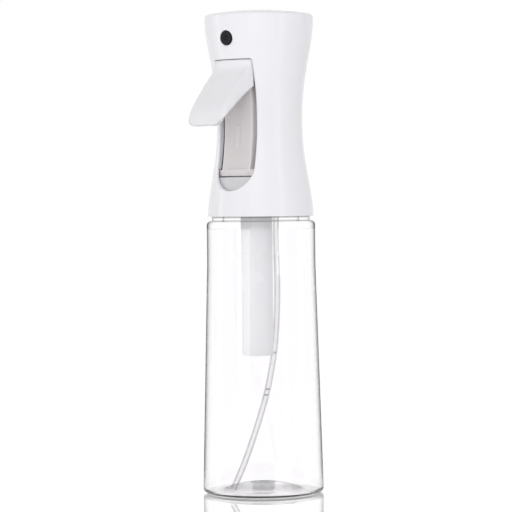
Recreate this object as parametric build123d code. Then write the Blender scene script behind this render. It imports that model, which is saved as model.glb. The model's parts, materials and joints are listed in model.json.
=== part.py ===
from build123d import *
from math import asin, cos, radians, sin, sqrt, tan
import os

# Hand mister: a continuous-mist trigger sprayer on a clear bottle.
# Millimetres. The origin is the centre of the foot ring's plane, +Z is up,
# and the nozzle and the trigger face -Y.

# ---------------------------------------------------------------- fits
SNUG = 0.02            # radial gap of a push fit between pieces that stay together
RUNNING = 0.05         # radial gap of a sliding or turning fit
MATING = 0.02          # gap between flat faces that are clamped together
CLEAR = 0.35           # gap between pieces that move past each other
OVERLAP = 0.1          # how far shapes that are joined into one solid run into each other

# ---------------------------------------------------------------- bottle
FOOT_R = 30.15         # outer radius of the side, run down to the floor
SIDE_R = 27.05         # outer radius of the straight top of the side
SIDE_TAPER_TOP = 115.0
SHOULDER_Z = 135.7     # top of the shoulder
SHOULDER_FILLET = 2.2
FOOT_FILLET = 2.2
BOTTLE_WALL = 0.9
SHOULDER_WALL = 1.4
FLOOR_WALL = 1.3
PUSH_UP_R = 20.5       # radius of the dome pushed up into the base
PUSH_UP_RISE = 4.0
GATE_R = 5.6           # moulding boss in the middle of the dome
GATE_DROP = 3.2

COLLAR_GAP = 2.2       # height of clear neck that shows between shoulder and head
COLLAR_R = 24.4        # wide foot of the neck, inside the head's skirt
COLLAR_HEIGHT = 5.3
NECK_R = 20.6          # neck at the root of its thread
NECK_WALL = 1.6
NECK_HEIGHT = 11.0     # threaded finish above the collar

# ---------------------------------------------------------------- screw thread
PITCH = 4.0
THREAD_DEPTH = 1.0
NECK_TURNS = 1.4
RING_TURNS = 1.2
THREAD_ROOT_WIDTH = 2.2
THREAD_CREST_WIDTH = 1.4
THREAD_START = 2.5     # start of the neck's thread above the collar
THREAD_SINK = 0.2      # how far the ridge's foot is sunk in the wall

# ---------------------------------------------------------------- shroud
SHROUD_WALL = 1.6
SKIRT_R = 26.35        # bottom edge
WAIST_R = 21.25
RIM_R = 27.15          # widest place at the top
WAIST_RISE = 46.6      # height above the bottom edge
RIM_FILLET = 1.7
CROWN_RISE = 2.3       # dome above the rounded edge
CEILING_WALL = 2.0
CEILING_BEVEL = 1.5
UPPER_BLEND = 1.25     # how late the side flares above the waist
LOWER_BLEND = 1.20     # and below it
PROFILE_STEPS = 10     # points of each half of the side's curve

SLOT_WIDTH = 23.0      # opening that the trigger fills at its top
SLOT_BOTTOM_RISE = 12.6  # heights above the shroud's bottom edge
SLOT_TOP_RISE = 77.3
SLOT_CORNER = 0.8
SLOT_EDGE = 0.6        # rounding of its outer edge
LINER_WALL = 1.4       # wall that lines the slot
LINER_DEPTH = 1.4      # its depth behind the shroud's wall

NOZZLE_ABOVE_SLOT = 10.4
RIM_ABOVE_NOZZLE = 10.9
NOZZLE_R = 3.4

# ---------------------------------------------------------------- closure, gasket and flange
GASKET_HEIGHT = 1.4
GASKET_WIDTH = 2.6
FLANGE_HEIGHT = 2.2
LIP_HEIGHT = 1.7       # inward lip of the ring, over the flange
LIP_R = 17.0
RING_TOP_R = 22.2      # the ring above the shroud's grip
COLUMN_R = 16.4        # short wall that stands on the flange, inside the lip
COLUMN_WALL = 1.4
DECK_GAP = 1.9         # between the ring's lip and the frame's deck
DECK_HEIGHT = 2.0
DECK_LIP = 1.4         # lip under the deck's rim
DECK_LIP_WIDTH = 1.5

# ---------------------------------------------------------------- passages of the pump body
INLET_Y = 12.2         # riser above the dip tube
SIDE_RISER_X = 8.0     # transfer riser at -X, outlet riser at +X
SIDE_RISER_Y = 9.0
INLET_RISER_R = 3.2
SIDE_RISER_R = 3.4
PASSAGE_R = 1.3
GALLERY_R = 0.9
GALLERY_BOSS_R = 2.2
LOW_GALLERY_RISE = 1.2 # above the flange
WEB_THICKNESS = 1.6
BRIDGE_HALF = 4.0      # wall between the pump and the web
BRIDGE_RISE = 3.0      # its lower edge above the pump's mouth
PORT_WALL = 1.2
PLUG_LENGTH = 1.6
PLUG_HEAD_GAP = 0.4    # from the transfer plug's top to the passage

# ---------------------------------------------------------------- inlet valve
TUBE_R = 1.5
TUBE_BORE_R = 1.0
SEAT_R = 2.6
SOCKET_R = 4.0
SOCKET_DEPTH = 7.4     # below the flange
TUBE_DEPTH = 5.0       # tube's length inside the seat
SEAT_HOLE_R = 0.9
SEAT_CONE = 0.7
SEAT_INSET = 0.4       # seat's top below the flange
BALL_R = 1.9
BALL_LIFT = 1.2        # up to the stop
STOP_WIDTH = 1.0
STOP_HEIGHT = 0.9

# ---------------------------------------------------------------- transfer valve
DUCKBILL_R = 2.4
DUCKBILL_FLANGE = 1.0
DUCKBILL_LENGTH = 4.0
DUCKBILL_RISE = 6.4    # its seat above the flange's top
DUCKBILL_SHOULDER = 0.5
DUCKBILL_LIP = 0.7     # thickness of the flat end
DUCKBILL_SLIT = 0.1
DUCKBILL_SLIT_DEPTH = 1.6
DUCKBILL_LIP_DEPTH = 1.2

# ---------------------------------------------------------------- trigger
PIVOT_Y = -12.2
PIVOT_DROP = 5.7       # below the slot's top
PIVOT_R = 2.0
EAR_R = 3.0
TRIGGER_SIDE_GAP = 0.3
TRIGGER_SKIN = 2.4     # measured along Y
TRIGGER_RIM = 1.6      # thickness of the side rims
TRIGGER_TIP_DROP = 27.5  # pivot to the tip's lowest edge
TRIGGER_CORNER = 6.2     # rounding of the tip's corners, seen from the front
TRIGGER_TIP_ROUND = 1.2  # rounding of the tip's lower edge, seen from the side
TRIGGER_FLUSH = 1.6      # height of the strip at the top that is flush with the shroud
TRIGGER_EDGE = 0.7       # rounding of the side edges there
# the trigger's front below its flush top, from the pivot:
# (height, Y, crown across the width, rounding of the side edges)
TRIGGER_FRONT = (
    (1.6, -11.7, 1.8, 1.0),
    (-2.7, -15.1, 1.4, 1.5),
    (-6.5, -18.9, 1.0, 1.9),
    (-12.0, -23.7, 0.8, 2.2),
    (-16.0, -27.2, 0.6, 2.4),
    (-20.4, -30.2, 0.5, 2.4),
    (-24.7, -31.8, 0.4, 2.4),
    (-28.5, -32.4, 0.4, 2.4),
)
# the side rims' back edge, from the pivot: (Y, Z)
RIM_EDGE = (
    (-6.3, 5.0),
    (-6.5, -7.7),
    (-11.6, -10.6),
    (-15.6, -13.1),
    (-20.5, -16.6),
    (-25.4, -20.4),
    (-29.4, -23.5),
)
ARM_X = 7.9            # inner face of each arm
ARM_WIDTH = 1.6
ARM_LENGTH = 13.0      # pivot to drive bar
ARM_REST = -38.0       # degrees below the horizontal, at rest
SQUEEZE = 20.0         # degrees
BAR_R = 1.5
BAR_EYE_R = 2.4
PIN_SETBACK = 0.2      # pin's end behind the cheek's outer face
# the arm's front corners inside the skin, from the pivot: (Y, Z)
WEB_CORNERS = ((-9.2, 3.4), (-15.0, -5.0))

# ---------------------------------------------------------------- frame that carries the trigger
PANEL_Y = -13.9
PANEL_WALL = 1.4
PANEL_DROP = 12.3      # its top below the pivot
CHEEK_GAP = 0.3        # between arm and cheek
CHEEK_WALL = 1.6
CHEEK_DROP = 6.0       # the cheek's back corner below the pivot
BACK_Y = 3.4
BACK_DROP = 1.5        # its top below the yoke's top, at rest
FACIA_HALF = 8.8       # raised front of the panel, between the trigger's rims
FACIA_SETBACK = 0.5    # behind the slot's side edges
FACIA_DROP = 7.2       # its top below the pivot
FACIA_EDGE = 0.7
RIB_HEIGHT = 0.35      # it stands on the raised front
RIB_HALF = 1.3
RIB_BOTTOM_RISE = 9.5  # above the deck
RIB_TOP_RISE = 21.6

# ---------------------------------------------------------------- pump
PUMP_Y = -0.5
PUMP_BORE_R = 5.5
PUMP_WALL = 1.3
PUMP_MOUTH_DROP = 0.5  # mouth below the pivot's height
PUMP_DEPTH = 10.0
PUMP_CEILING = 1.4
YOKE_X = 4.5
YOKE_FRONT = 4.0
YOKE_BACK = 3.1
YOKE_JAW = 1.55
BAR_GAP = 0.25         # drive bar to each jaw
PISTON_HEIGHT = 8.2
PISTON_LAND = 3.7
PISTON_POCKET_R = 3.9
PISTON_FLOOR = 1.5     # between the yoke and the spring's pocket
PISTON_CREST = 1.0     # land above the seal
SEAL_HEIGHT = 1.4
SEAL_DEPTH = 0.75

# ---------------------------------------------------------------- outlet valve
OUTLET_CHAMBER_R = 2.6
OUTLET_SEAT_DROP = 2.0 # below the pump's mouth
OUTLET_DISC_R = 2.25
OUTLET_DISC = 1.0
OUTLET_STEM_R = 0.9
OUTLET_STEM = 2.6
OUTLET_PILOT = 0.8
OUTLET_PILOT_GAP = 0.25
OUTLET_SPRING_ROOM = 5.8
OUTLET_PLUG = 4.0
SPIGOT_LENGTH = 5.0

# ---------------------------------------------------------------- discharge pipe and nozzle
PIPE_R = 3.0
PIPE_BORE_R = 1.2
BOSS_R = 5.2
BOSS_LENGTH = 10.0
BOSS_SETBACK = 2.8     # boss face behind the shroud's outer face
NOZZLE_PROUD = 0.3
NOZZLE_LENGTH = 10.4
NOZZLE_BORE_R = 2.2
NOZZLE_FACE = 1.7
ORIFICE_R = 0.4
ORIFICE_DISH_R = 1.6
ORIFICE_DISH = 0.8
ORING_R = 0.4
ORING_Y = 3.0          # from the socket's bottom
ORING_GROOVE = 1.0
INSERT_SETBACK = 1.5   # from the socket's bottom
INSERT_GROOVE_R = 0.5

# ---------------------------------------------------------------- pressure buffer
BUFFER_Y = -3.6
BUFFER_R = 7.9
BUFFER_WALL = 1.2
BUFFER_LENGTH = 84.9   # from the flange's underside to the cap
BUFFER_PORT_R = 2.0
SPIGOT_DEPTH = 8.4     # spigot of the pump body inside the cylinder
BUFFER_PISTON = 6.0
BUFFER_TOP_GAP = 1.0
BUFFER_PISTON_WALL = 1.2
BUFFER_PISTON_SIDE = 2.0
BUFFER_STEM_R = 2.4    # guides the spring
BUFFER_STEM = 4.0      # below the piston
BUFFER_SEAL = 1.0
BUFFER_SEAL_DEPTH = 0.8
BUFFER_SEAL_INSET = 1.4  # from each end of the piston
CAP_FLANGE = 1.5
CAP_PLUG = 4.0
CAP_PLUG_WALL = 1.4
CAP_VENT_R = 2.2

# ---------------------------------------------------------------- springs: (mean radius, wire radius, turns)
PUMP_SPRING = (3.35, 0.35, 6)
OUTLET_SPRING = (1.7, 0.22, 6)
BUFFER_SPRING = (3.9, 0.6, 14)
SPRING_GAP = 0.05

# ---------------------------------------------------------------- vent valve
VENT_X = -11.8
VENT_Y = -2.0
VENT_STEM_R = 1.15
VENT_CAP_R = 2.8
VENT_CAP = 0.9
VENT_BULB_R = 1.7
VENT_BULB = 1.6
VENT_AIR_R = 0.4       # three air holes round the stem
VENT_AIR_CIRCLE = 2.0

# ---------------------------------------------------------------- dip tube: bends as (Y, Z), from the top down
TUBE_STRAIGHT = 20.0   # straight run below the seat
TUBE_BENDS = ((13.3, 98.0), (10.9, 72.0), (4.4, 50.5), (-5.4, 31.5), (-15.4, 15.0))
TUBE_END_GAP = 1.0     # between the tube's end and the floor
TUBE_END_INSET = 6.2   # from the foot's outer radius to the end

# ---------------------------------------------------------------- worked out from the sizes above
NECK_BORE_R = NECK_R - NECK_WALL
SHROUD_BOTTOM = SHOULDER_Z + COLLAR_GAP
COLLAR_TOP = SHOULDER_Z + COLLAR_HEIGHT
NECK_TOP = COLLAR_TOP + NECK_HEIGHT
FLANGE_Z = NECK_TOP + GASKET_HEIGHT + 2 * MATING
FLANGE_TOP = FLANGE_Z + FLANGE_HEIGHT
RING_TOP = FLANGE_TOP + LIP_HEIGHT
DECK_Z = RING_TOP + DECK_GAP
DECK_TOP = DECK_Z + DECK_HEIGHT
WAIST_Z = SHROUD_BOTTOM + WAIST_RISE
SLOT_BOTTOM = SHROUD_BOTTOM + SLOT_BOTTOM_RISE
SLOT_TOP = SHROUD_BOTTOM + SLOT_TOP_RISE
NOZZLE_Z = SLOT_TOP + NOZZLE_ABOVE_SLOT
RIM_Z = NOZZLE_Z + RIM_ABOVE_NOZZLE
PIVOT_Z = SLOT_TOP - PIVOT_DROP
BAR_Y = PIVOT_Y + ARM_LENGTH * cos(radians(ARM_REST))
BAR_Z = PIVOT_Z + ARM_LENGTH * sin(radians(ARM_REST))
BAR_END_Y = PIVOT_Y + ARM_LENGTH * cos(radians(ARM_REST + SQUEEZE))
PUMP_MOUTH = PIVOT_Z - PUMP_MOUTH_DROP
PUMP_TOP = PUMP_MOUTH + PUMP_DEPTH
PUMP_ROOF = PUMP_TOP + PUMP_CEILING
HIGH_GALLERY_Z = PUMP_TOP - GALLERY_R - OVERLAP
LOW_GALLERY_Z = FLANGE_TOP + LOW_GALLERY_RISE
YOKE_TOP = BAR_Z + BAR_R + BAR_GAP + YOKE_JAW
PISTON_TOP = YOKE_TOP + PISTON_HEIGHT
POCKET_FLOOR = YOKE_TOP + PISTON_FLOOR
SEAT_BOTTOM = FLANGE_Z - SOCKET_DEPTH
SEAT_TOP = FLANGE_Z - SEAT_INSET
BALL_TOUCH = BALL_R * sin(radians(45))   # the 45 degree cone's radius where the ball rests
BALL_Z = SEAT_TOP - (SEAT_HOLE_R + SEAT_CONE - BALL_TOUCH) + BALL_TOUCH + RUNNING * sqrt(2)
BALL_STOP_Z = BALL_Z + BALL_R + BALL_LIFT + RUNNING
TUBE_TOP = SEAT_BOTTOM + TUBE_DEPTH
OUTLET_SEAT_Z = PUMP_MOUTH - OUTLET_SEAT_DROP
OUTLET_PLUG_Z = OUTLET_SEAT_Z + OUTLET_DISC + OUTLET_SPRING_ROOM
RISER_TOP = OUTLET_PLUG_Z + OUTLET_PLUG + SPIGOT_LENGTH + MATING
BUFFER_BORE_R = BUFFER_R - BUFFER_WALL
BUFFER_BOTTOM = FLANGE_Z - BUFFER_LENGTH
BUFFER_PISTON_TOP = FLANGE_Z - SPIGOT_DEPTH - BUFFER_TOP_GAP
ARM_OUTER_X = ARM_X + ARM_WIDTH
CHEEK_X = ARM_OUTER_X + CHEEK_GAP
TRIGGER_HALF = SLOT_WIDTH / 2 - TRIGGER_SIDE_GAP
BASE_ALIGN = (Align.CENTER, Align.CENTER, Align.MIN)


# ---------------------------------------------------------------- helpers
def rod(radius, low, high, x=0.0, y=0.0):
    """Upright cylinder between two heights."""
    return Pos(x, y, low) * Cylinder(radius, high - low, align=BASE_ALIGN)


def ring(outer, inner, low, high, x=0.0, y=0.0):
    """Upright tube between two heights."""
    return rod(outer, low, high, x, y) - rod(inner, low - 1, high + 1, x, y)


def bar(radius, start, end):
    """Cylinder from one point to another."""
    start = Vector(*start)
    run = Vector(*end) - start
    return Plane(origin=start, z_dir=run) * Cylinder(radius, run.length, align=BASE_ALIGN)


def block(x_range, y_range, z_range):
    """Box from its three ranges."""
    size = [high - low for low, high in (x_range, y_range, z_range)]
    return Pos(x_range[0], y_range[0], z_range[0]) * Box(*size, align=(Align.MIN,) * 3)


def spin(*curves):
    """Solid of revolution about Z from curves drawn as (radius, height)."""
    return revolve(Plane.XZ * make_face(Curve() + list(curves)), axis=Axis.Z)


def cap_arc(radius, edge_z, rise):
    """Arc of a spherical cap from its edge to its top on the axis."""
    sphere_r = (radius**2 + rise**2) / (2 * rise)
    half_angle = asin(radius / sphere_r) / 2
    middle = (sphere_r * sin(half_angle), edge_z + rise - sphere_r * (1 - cos(half_angle)))
    return ThreePointArc((radius, edge_z), middle, (0, edge_z + rise))


def side_plate(face, x_low, x_high):
    """Face drawn as (Y, Z), thickened from one X to another."""
    return extrude(Plane.YZ.offset(x_low) * face, amount=x_high - x_low, dir=(1, 0, 0))


def mirrored(solid):
    """The solid with its mirror image across the middle plane."""
    return solid + mirror(solid, about=Plane.YZ)


def spring(size, low, high, x=0.0, y=0.0):
    """Coil spring whose wire stays between two heights."""
    mean_r, wire_r, turns = size
    height = high - low - 2 * wire_r
    path = Helix(height / turns, height, mean_r)
    wire = Plane(origin=path @ 0, z_dir=path % 0) * Circle(wire_r)
    return Pos(x, y, low + wire_r) * sweep(wire, path=path, is_frenet=True)


def thread(root_r, crest_r, start, turns):
    """Right-hand screw ridge that stands on the root radius."""
    side = 1 if crest_r > root_r else -1
    foot_r = root_r - THREAD_SINK * side
    half_root = THREAD_ROOT_WIDTH / 2
    half_crest = THREAD_CREST_WIDTH / 2
    outline = Polyline(
        (foot_r, start - half_root),
        (crest_r, start - half_crest),
        (crest_r, start + half_crest),
        (foot_r, start + half_root),
        close=True,
    )
    path = Pos(0, 0, start) * Helix(PITCH, PITCH * turns, root_r)
    return sweep(Plane.XZ * make_face(outline), path=path, is_frenet=True)


def smooth_step(share):
    return share * share * (3 - 2 * share)


def shroud_radius(height):
    """Outer radius of the hourglass side at a height."""
    if height >= WAIST_Z:
        share = min(1.0, (height - WAIST_Z) / (RIM_Z - WAIST_Z))
        return WAIST_R + (RIM_R - WAIST_R) * smooth_step(share**UPPER_BLEND)
    share = min(1.0, (WAIST_Z - height) / (WAIST_Z - SHROUD_BOTTOM))
    return WAIST_R + (SKIRT_R - WAIST_R) * smooth_step(share**LOWER_BLEND)


def front_y(height, x):
    """Y of the shroud's outer front at a height, off the middle by x."""
    return -sqrt(shroud_radius(height) ** 2 - x**2)


def shroud_side(low, high, inset):
    """Curve of the shroud's side between two heights, moved inwards."""
    steps = 2 * PROFILE_STEPS
    heights = [low + (high - low) * step / steps for step in range(steps + 1)]
    return Spline(*[(shroud_radius(height) - inset, height) for height in heights])


# ---------------------------------------------------------------- bottle and gasket
def make_bottle():
    taper = (FOOT_R - SIDE_R) / SIDE_TAPER_TOP
    foot = FilletPolyline(
        (PUSH_UP_R, 0),
        (FOOT_R, 0),
        (FOOT_R - taper * SIDE_TAPER_TOP / 2, SIDE_TAPER_TOP / 2),
        radius=FOOT_FILLET,
    )
    upper = FilletPolyline(
        (SIDE_R, SIDE_TAPER_TOP),
        (SIDE_R, SHOULDER_Z),
        (COLLAR_R, SHOULDER_Z),
        radius=SHOULDER_FILLET,
    )
    outer = spin(
        cap_arc(PUSH_UP_R, 0, PUSH_UP_RISE),
        foot,
        Line(foot @ 1, upper @ 0),
        upper,
        Polyline(
            upper @ 1,
            (COLLAR_R, COLLAR_TOP),
            (NECK_R, COLLAR_TOP),
            (NECK_R, NECK_TOP),
            (0, NECK_TOP),
            (0, PUSH_UP_RISE),
        ),
    )
    floor = FilletPolyline(
        (PUSH_UP_R, FLOOR_WALL),
        (FOOT_R - BOTTLE_WALL, FLOOR_WALL),
        (FOOT_R - BOTTLE_WALL - taper * SIDE_TAPER_TOP / 2, SIDE_TAPER_TOP / 2),
        radius=FOOT_FILLET - BOTTLE_WALL,
    )
    roof_z = SHOULDER_Z - SHOULDER_WALL
    roof = FilletPolyline(
        (SIDE_R - BOTTLE_WALL, SIDE_TAPER_TOP),
        (SIDE_R - BOTTLE_WALL, roof_z),
        (NECK_BORE_R, roof_z),
        (NECK_BORE_R, NECK_TOP + 1),
        radius=SHOULDER_FILLET,
    )
    inner = spin(
        cap_arc(PUSH_UP_R, FLOOR_WALL, PUSH_UP_RISE),
        floor,
        Line(floor @ 1, roof @ 0),
        roof,
        Polyline(roof @ 1, (0, NECK_TOP + 1), (0, PUSH_UP_RISE + FLOOR_WALL)),
    )
    gate = rod(GATE_R, PUSH_UP_RISE - GATE_DROP, PUSH_UP_RISE + FLOOR_WALL / 2)
    screw = thread(NECK_R, NECK_R + THREAD_DEPTH, COLLAR_TOP + THREAD_START, NECK_TURNS)
    return outer - inner + gate + screw


def make_neck_gasket():
    low = NECK_TOP + MATING
    return ring(NECK_R, NECK_R - GASKET_WIDTH, low, low + GASKET_HEIGHT)


# ---------------------------------------------------------------- outer cover
def slot_outline(margin):
    """The slot seen from the front: a square top and a round bottom, grown by a margin."""
    half = SLOT_WIDTH / 2 + margin
    round_z = SLOT_BOTTOM + SLOT_WIDTH / 2
    top = SLOT_TOP + margin
    outline = Pos(0, (top + round_z) / 2) * Rectangle(2 * half, top - round_z)
    outline = fillet(outline.vertices().group_by(Axis.Y)[-1], SLOT_CORNER)
    return outline + Pos(0, round_z) * Circle(half)


def make_shroud():
    edge_top = RIM_Z + RIM_FILLET
    edge_r = RIM_R - RIM_FILLET
    crown_z = edge_top + CROWN_RISE
    outer = spin(
        shroud_side(SHROUD_BOTTOM, RIM_Z, 0),
        CenterArc((edge_r, RIM_Z), RIM_FILLET, 0, 90),
        cap_arc(edge_r, edge_top, CROWN_RISE),
        Polyline((0, crown_z), (0, SHROUD_BOTTOM), (SKIRT_R, SHROUD_BOTTOM)),
    )
    ceiling = edge_top - CEILING_WALL
    wall_top = ceiling - CEILING_BEVEL
    inner = spin(
        shroud_side(SHROUD_BOTTOM, wall_top, SHROUD_WALL),
        Polyline(
            (shroud_radius(wall_top) - SHROUD_WALL, wall_top),
            (shroud_radius(wall_top) - SHROUD_WALL - CEILING_BEVEL, ceiling),
            (0, ceiling),
            (0, SHROUD_BOTTOM),
            (SKIRT_R - SHROUD_WALL, SHROUD_BOTTOM),
        ),
    )
    slot = extrude(Plane.XZ * slot_outline(0), amount=RIM_R + 5, dir=(0, -1, 0))
    nozzle_hole = bar(NOZZLE_R + CLEAR, (0, 0, NOZZLE_Z), (0, -RIM_R - 5, NOZZLE_Z))
    body = outer - inner - slot - nozzle_hole
    side = body.faces().sort_by(SortBy.AREA)[-1]
    edge = [
        line
        for line in side.edges()
        if SHROUD_BOTTOM + 1 < line.center().Z < SLOT_TOP + 1
        and line.center().Y < 0
        and line.bounding_box().size.X < 1.1 * SLOT_WIDTH
    ]
    body = fillet(edge, SLOT_EDGE)
    # the liner deepens the slot's edge inwards, and stays off the ring and the deck
    liner = extrude(Plane.XZ * slot_outline(LINER_WALL), amount=RIM_R, dir=(0, -1, 0)) & inner
    liner_inset = SHROUD_WALL + LINER_DEPTH
    liner_top = SLOT_TOP + 2 * LINER_WALL
    liner -= spin(
        shroud_side(SHROUD_BOTTOM, liner_top, liner_inset),
        Polyline(
            (shroud_radius(liner_top) - liner_inset, liner_top),
            (0, liner_top),
            (0, SHROUD_BOTTOM),
            (SKIRT_R - liner_inset, SHROUD_BOTTOM),
        ),
    )
    liner -= rod(RING_TOP_R + CLEAR, SHROUD_BOTTOM - 1, DECK_TOP + CLEAR)
    return body + (liner - slot)


def make_closure_ring():
    low = COLLAR_TOP + CLEAR
    bore_r = NECK_R + THREAD_DEPTH + CLEAR
    flange_r = NECK_R + CLEAR
    inset = SHROUD_WALL + RUNNING
    grip_top = SLOT_BOTTOM - LINER_WALL - CLEAR
    body = spin(
        shroud_side(low, grip_top, inset),
        Polyline(
            (shroud_radius(grip_top) - inset, grip_top),
            (RING_TOP_R, grip_top),
            (RING_TOP_R, RING_TOP),
            (LIP_R, RING_TOP),
            (LIP_R, FLANGE_TOP),
            (flange_r, FLANGE_TOP),
            (flange_r, NECK_TOP + CLEAR),
            (bore_r, NECK_TOP + CLEAR),
            (bore_r, low),
            (shroud_radius(low) - inset, low),
        ),
    )
    start = COLLAR_TOP + THREAD_START + PITCH / 2
    return body + thread(bore_r, bore_r - THREAD_DEPTH, start, RING_TURNS)


# ---------------------------------------------------------------- pump body
def gallery_lines():
    """Start and end points of the cross passages, each from its outer mouth."""
    reach = SIDE_RISER_R + OVERLAP
    run = Vector(SIDE_RISER_X, SIDE_RISER_Y - BUFFER_Y, 0).normalized()
    lines = [
        ((0, INLET_Y + INLET_RISER_R, HIGH_GALLERY_Z), (0, PUMP_Y + PUMP_BORE_R - 1, HIGH_GALLERY_Z)),
        ((-SIDE_RISER_X - SIDE_RISER_R, SIDE_RISER_Y, HIGH_GALLERY_Z), (0, SIDE_RISER_Y, HIGH_GALLERY_Z)),
    ]
    for side in (-1, 1):
        mouth = (
            side * (SIDE_RISER_X + run.X * reach),
            SIDE_RISER_Y + run.Y * reach,
            LOW_GALLERY_Z,
        )
        lines.append((mouth, (0, BUFFER_Y, LOW_GALLERY_Z)))
    return lines


def make_pump_body():
    body = rod(NECK_R, FLANGE_Z, FLANGE_TOP)
    body += ring(COLUMN_R, COLUMN_R - COLUMN_WALL, FLANGE_TOP, DECK_Z)
    body += rod(BUFFER_BORE_R - SNUG, FLANGE_Z - SPIGOT_DEPTH, FLANGE_Z, y=BUFFER_Y)
    body += rod(SOCKET_R, SEAT_BOTTOM, FLANGE_Z, y=INLET_Y)
    body += rod(BUFFER_PORT_R + PORT_WALL, FLANGE_TOP, LOW_GALLERY_Z + GALLERY_BOSS_R, y=BUFFER_Y)
    body += rod(INLET_RISER_R, FLANGE_TOP, PUMP_ROOF, y=INLET_Y)
    body += rod(SOCKET_R, FLANGE_TOP, BALL_STOP_Z + STOP_HEIGHT + OVERLAP, y=INLET_Y)
    body += rod(SIDE_RISER_R, FLANGE_TOP, PUMP_ROOF, -SIDE_RISER_X, SIDE_RISER_Y)
    body += rod(SIDE_RISER_R, FLANGE_TOP, RISER_TOP, SIDE_RISER_X, SIDE_RISER_Y)
    body += rod(PUMP_BORE_R + PUMP_WALL, PUMP_MOUTH, PUMP_ROOF, y=PUMP_Y)
    web_y = (SIDE_RISER_Y - WEB_THICKNESS / 2, SIDE_RISER_Y + WEB_THICKNESS / 2)
    body += block((-SIDE_RISER_X, SIDE_RISER_X), web_y, (FLANGE_TOP, PUMP_ROOF))
    bridge_z = (PUMP_MOUTH + BRIDGE_RISE, PUMP_ROOF)
    body += block((-BRIDGE_HALF, BRIDGE_HALF), (PUMP_Y + PUMP_BORE_R, SIDE_RISER_Y), bridge_z)
    for mouth, end in gallery_lines():
        body += bar(GALLERY_BOSS_R, mouth, end)
    body -= rod(PUMP_BORE_R, PUMP_MOUTH - 1, PUMP_TOP, y=PUMP_Y)
    # inlet: seat, ball chamber with its stop, and riser
    chamber_roof = BALL_STOP_Z + STOP_HEIGHT / 2
    body -= rod(SEAT_R, SEAT_BOTTOM - 1, chamber_roof, y=INLET_Y)
    body -= rod(PASSAGE_R, chamber_roof - 1, HIGH_GALLERY_Z + GALLERY_R / 2, y=INLET_Y)
    stop_y = (INLET_Y - STOP_WIDTH / 2, INLET_Y + STOP_WIDTH / 2)
    stop_z = (BALL_STOP_Z, BALL_STOP_Z + STOP_HEIGHT)
    body += block((-SEAT_R - OVERLAP, SEAT_R + OVERLAP), stop_y, stop_z)
    # transfer riser, open below for the duckbill
    seat_z = FLANGE_TOP + DUCKBILL_RISE
    body -= rod(DUCKBILL_R, FLANGE_Z - 1, seat_z, -SIDE_RISER_X, SIDE_RISER_Y)
    body -= rod(PASSAGE_R, seat_z - 1, HIGH_GALLERY_Z + GALLERY_R / 2, -SIDE_RISER_X, SIDE_RISER_Y)
    # outlet riser with the valve's chamber
    body -= rod(PASSAGE_R, LOW_GALLERY_Z - GALLERY_R / 2, OUTLET_SEAT_Z + 1, SIDE_RISER_X, SIDE_RISER_Y)
    body -= rod(OUTLET_CHAMBER_R, OUTLET_SEAT_Z, RISER_TOP + 1, SIDE_RISER_X, SIDE_RISER_Y)
    # buffer port and the cross passages
    body -= rod(BUFFER_PORT_R, FLANGE_Z - SPIGOT_DEPTH - 1, LOW_GALLERY_Z + GALLERY_R / 2, y=BUFFER_Y)
    for mouth, end in gallery_lines():
        outward = (Vector(*mouth) - Vector(*end)).normalized()
        body -= bar(GALLERY_R, Vector(*mouth) + outward * 2, end)
    # vent: stem hole with three air holes round it
    body -= rod(VENT_STEM_R, FLANGE_Z - 1, FLANGE_TOP + 1, VENT_X, VENT_Y)
    for turn in (0, 120, 240):
        x = VENT_X + VENT_AIR_CIRCLE * cos(radians(turn))
        y = VENT_Y + VENT_AIR_CIRCLE * sin(radians(turn))
        body -= rod(VENT_AIR_R, FLANGE_Z - 1, FLANGE_TOP + 1, x, y)
    return body


def make_gallery_plugs():
    plugs = rod(
        DUCKBILL_R - SNUG,
        FLANGE_Z,
        LOW_GALLERY_Z - GALLERY_R - PLUG_HEAD_GAP,
        -SIDE_RISER_X,
        SIDE_RISER_Y,
    )
    for mouth, end in gallery_lines():
        inward = (Vector(*end) - Vector(*mouth)).normalized()
        start = Vector(*mouth) + inward * OVERLAP
        plugs += bar(GALLERY_R - SNUG, start, start + inward * PLUG_LENGTH)
    return plugs


# ---------------------------------------------------------------- valves
def make_inlet_seat():
    body = rod(SEAT_R - SNUG, SEAT_BOTTOM, SEAT_TOP, y=INLET_Y)
    body -= rod(TUBE_R + SNUG, SEAT_BOTTOM - 1, TUBE_TOP, y=INLET_Y)
    body -= rod(SEAT_HOLE_R, TUBE_TOP - 1, SEAT_TOP + 1, y=INLET_Y)
    cone = Cone(SEAT_HOLE_R, SEAT_HOLE_R + SEAT_CONE, SEAT_CONE, align=BASE_ALIGN)
    return body - Pos(0, INLET_Y, SEAT_TOP - SEAT_CONE) * cone


def make_inlet_ball():
    return Pos(0, INLET_Y, BALL_Z) * Sphere(BALL_R)


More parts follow.
